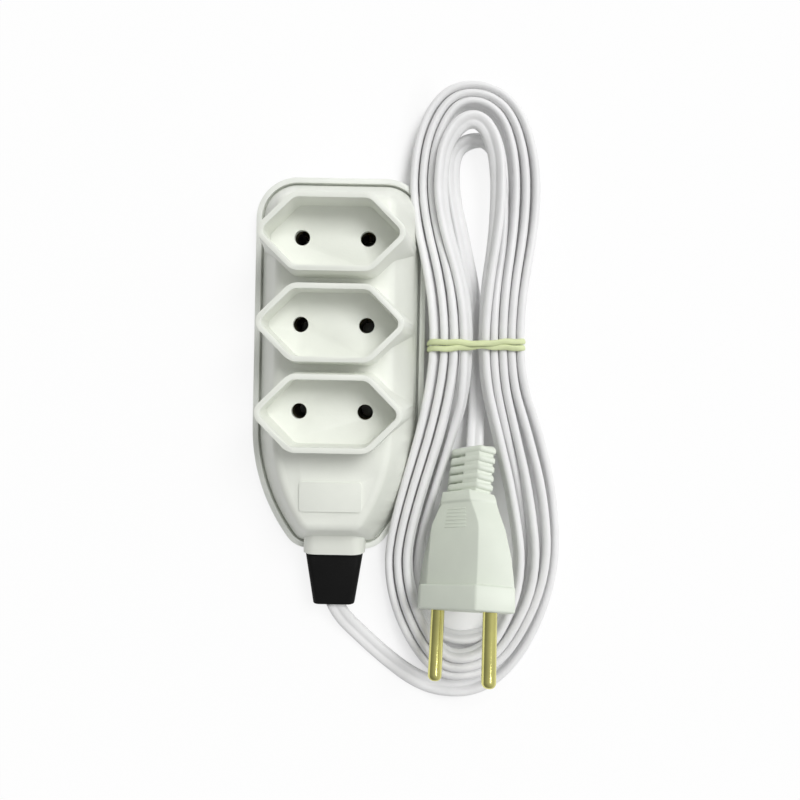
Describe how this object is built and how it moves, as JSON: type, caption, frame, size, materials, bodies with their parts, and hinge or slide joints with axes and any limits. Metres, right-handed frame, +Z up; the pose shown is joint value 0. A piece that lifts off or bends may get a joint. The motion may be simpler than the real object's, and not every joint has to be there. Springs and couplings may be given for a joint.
{
  "type": "extension cord",
  "caption": "Mains extension cord: a flat block with hexagonal two-pole sockets, a flat twin cord folded into a banded hank, and a moulded two-pin plug.",
  "frame": {"origin": "bottom centre of the socket block, on the surface it stands on", "axes": "+X to the right across the block, +Y along it towards the end without the cord, +Z up out of the sockets"},
  "size_m": [0.0969, 0.1917, 0.0381],
  "materials": {
    "cover_plastic": "satin moulded white",
    "tray_plastic": "satin moulded white",
    "plug_plastic": "satin moulded off-white",
    "insert_plastic": "matte",
    "boot_rubber": "satin black",
    "cord_sheath": "satin white",
    "live_insulation": "matte brown",
    "neutral_insulation": "matte blue",
    "band_rubber": "matte pale yellow",
    "brass": "plain",
    "pin_brass": "polished",
    "steel": "zinc plated"
  },
  "bodies": {
    "root": {"base_shell": "tray_plastic", "upper_shell": "cover_plastic", "live_bus_strip": "brass", "neutral_bus_strip": "brass", "shell_screws": "steel", "cord_clamp": "tray_plastic", "clamp_screws": "steel", "strain_relief_boot": "boot_rubber", "live_terminal": "brass", "neutral_terminal": "brass", "live_core": "live_insulation", "neutral_core": "neutral_insulation", "entry_cord": "cord_sheath", "cord_lead": "cord_sheath", "cord_hank": "cord_sheath", "plug_lead": "cord_sheath", "plug_body": "plug_plastic", "plug_bridge": "insert_plastic", "plug_pin_left": "pin_brass", "plug_pin_right": "pin_brass", "plug_crimp_left": "brass", "plug_crimp_right": "brass", "plug_core_left": "live_insulation", "plug_core_right": "neutral_insulation", "plug_entry_cord": "cord_sheath", "rubber_band": "band_rubber", "live_contact_1": "brass", "neutral_contact_1": "brass", "live_contact_2": "brass", "neutral_contact_2": "brass", "live_contact_3": "brass", "neutral_contact_3": "brass"}
  },
  "joints": []
}
